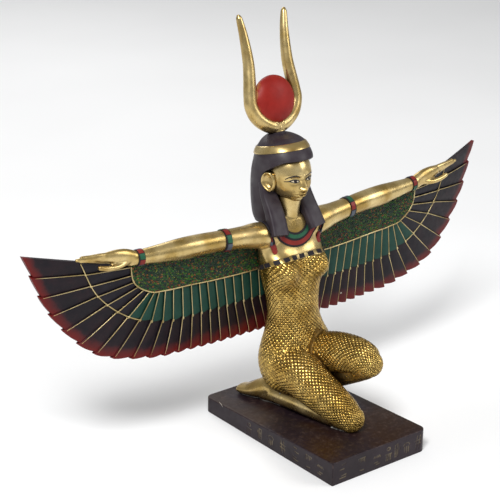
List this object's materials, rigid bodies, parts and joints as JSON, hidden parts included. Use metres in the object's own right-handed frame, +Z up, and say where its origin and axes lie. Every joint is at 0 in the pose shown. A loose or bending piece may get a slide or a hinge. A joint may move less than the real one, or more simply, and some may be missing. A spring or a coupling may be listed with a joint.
{
  "type": "winged kneeling goddess statue",
  "caption": "Kneeling Egyptian goddess with arms and feathered wings spread, wearing a horned sun disc crown, on a low sloped rectangular plinth.",
  "frame": {"origin": "middle of the plinth's underside", "axes": "+Z up, the figure faces -Y, its left hand points to +X"},
  "size_m": [0.3446, 0.121, 0.2489],
  "materials": {
    "plinth_paint": "dark purple-brown paint on cast resin, satin, with faint gold rubbed into shallow incised marks",
    "gold_paint": "bright gold paint on cast resin with brown patina in the recesses",
    "crown_paint": "gold painted horns round a satin deep red disc, on cast resin",
    "feather_paint": "teal, navy and red painted feathers with gold quill lines",
    "hair_paint": "near-black purple paint, satin"
  },
  "bodies": {
    "root": {"plinth": "plinth_paint", "figure": "gold_paint", "horned_crown": "crown_paint"}
  },
  "joints": []
}
